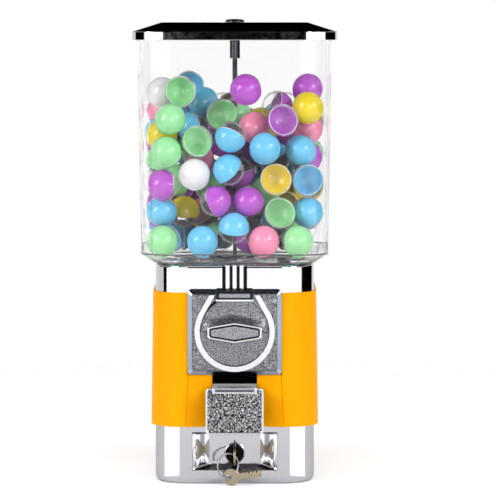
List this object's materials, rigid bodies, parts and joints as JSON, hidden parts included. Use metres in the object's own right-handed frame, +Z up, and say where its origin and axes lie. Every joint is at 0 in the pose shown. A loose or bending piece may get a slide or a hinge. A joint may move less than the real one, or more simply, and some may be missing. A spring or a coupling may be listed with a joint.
{
  "type": "gumball machine",
  "caption": "Countertop coin-operated gumball and capsule machine: clear square canister on a chrome neck, yellow body with coin dial and chute door, locking cash drawer in a chrome base.",
  "frame": {"origin": "on the table, under the centre rod", "axes": "+Z up, front with the coin dial toward -Y, +X to the viewer's right"},
  "size_m": [0.204, 0.204, 0.464],
  "materials": {
    "chrome_plate": "polished",
    "yellow_enamel": "gloss",
    "clear_polycarbonate": "clear",
    "cast_zinc": "pebbled",
    "zinc_steel": "satin",
    "turned_brass": "turned",
    "white_nylon": "moulded",
    "black_abs": "moulded",
    "black_rubber": "matt",
    "lock_black": "gloss",
    "key_nickel": "worn nickel",
    "capsule_blue": "gloss",
    "capsule_purple": "gloss",
    "capsule_mint": "gloss",
    "capsule_yellow": "gloss",
    "capsule_pink": "gloss",
    "capsule_clear": "clear"
  },
  "bodies": {
    "machine": {"base_shell": "chrome_plate", "base_plate": "zinc_steel", "rubber_feet": "black_rubber", "drawer_runners": "white_nylon", "body_shell": "yellow_enamel", "neck_housing": "chrome_plate", "canister": "clear_polycarbonate", "wheel_deck": "zinc_steel", "wheel_bush": "turned_brass", "tie_bolts": "zinc_steel", "tie_nuts": "zinc_steel", "discharge_baffle": "zinc_steel", "centre_rod": "zinc_steel", "rod_sleeve": "zinc_steel", "rod_nut": "zinc_steel", "capsule_chute": "black_abs", "hinge_bracket": "zinc_steel", "hinge_pin": "zinc_steel", "coin_plate": "cast_zinc", "coin_rim": "chrome_plate", "coin_hood": "cast_zinc", "corner_screw": "zinc_steel", "mech_housing": "cast_zinc", "mech_bracket": "zinc_steel", "mech_screws": "zinc_steel", "idler_pin": "zinc_steel", "pawl_pin": "zinc_steel", "coin_slide": "zinc_steel", "capsules_blue": "capsule_blue", "capsules_purple": "capsule_purple", "capsules_mint": "capsule_mint", "capsules_yellow": "capsule_yellow", "capsules_pink": "capsule_pink", "capsules_clear": "capsule_clear"},
    "lid": {"lid": "chrome_plate"},
    "lid_lock": {"lid_lock": "chrome_plate"},
    "handle": {"coin_dial": "cast_zinc", "dial_grip": "cast_zinc", "handle_shaft": "zinc_steel", "coin_carrier": "cast_zinc", "ratchet_wheel": "zinc_steel", "shaft_nut": "zinc_steel", "drive_pinion": "turned_brass"},
    "idler": {"idler_gear": "turned_brass"},
    "wheel": {"dispensing_wheel": "white_nylon", "crown_gear": "white_nylon", "wheel_cap": "white_nylon"},
    "pawl": {"pawl": "zinc_steel"},
    "door": {"chute_door": "chrome_plate"},
    "drawer": {"drawer_front": "chrome_plate", "drawer_tray": "zinc_steel", "lock_barrel": "chrome_plate", "lock_nut": "zinc_steel", "key_ring": "zinc_steel", "spare_key": "key_nickel"},
    "lock": {"lock_plug": "lock_black", "lock_cam": "zinc_steel", "cam_screw": "zinc_steel", "drawer_key": "key_nickel"}
  },
  "joints": [
    {"name": "lid_lift", "type": "slide", "parent": "machine", "child": "lid", "axis": [0, 0, 1], "range_m": [0, 0.12]},
    {"name": "lid_lock_turn", "type": "hinge", "parent": "lid", "child": "lid_lock", "pos_m": [0, 0, 0.462], "axis": [0, 0, 1], "range_deg": [0, 90]},
    {"name": "handle_turn", "type": "hinge", "parent": "machine", "child": "handle", "pos_m": [0, -0.08, 0.154], "axis": [0, 1, 0], "continuous": true},
    {"name": "idler_turn", "type": "hinge", "parent": "machine", "child": "idler", "pos_m": [0, -0.065, 0.181], "axis": [0, 1, 0], "continuous": true},
    {"name": "wheel_turn", "type": "hinge", "parent": "machine", "child": "wheel", "pos_m": [0, 0, 0.21], "axis": [0, 0, 1], "continuous": true},
    {"name": "pawl_swing", "type": "hinge", "parent": "machine", "child": "pawl", "pos_m": [0.026, -0.074, 0.169], "axis": [0, -1, 0], "range_deg": [0, 12], "stiffness_Nm_per_rad": 0.002, "springref_deg": -11.46},
    {"name": "chute_door_swing", "type": "hinge", "parent": "machine", "child": "door", "pos_m": [0, -0.0966, 0.0972], "axis": [-1, 0, 0], "range_deg": [0, 75]},
    {"name": "drawer_slide", "type": "slide", "parent": "machine", "child": "drawer", "axis": [0, -1, 0], "range_m": [0, 0.095]},
    {"name": "key_turn", "type": "hinge", "parent": "drawer", "child": "lock", "pos_m": [0, -0.07, 0.0297], "axis": [0, 1, 0], "range_deg": [0, 90]}
  ],
  "couplings": [
    {"joint": "idler_turn", "follows": "handle_turn", "ratio": -0.66667},
    {"joint": "wheel_turn", "follows": "handle_turn", "ratio": -0.16667}
  ]
}
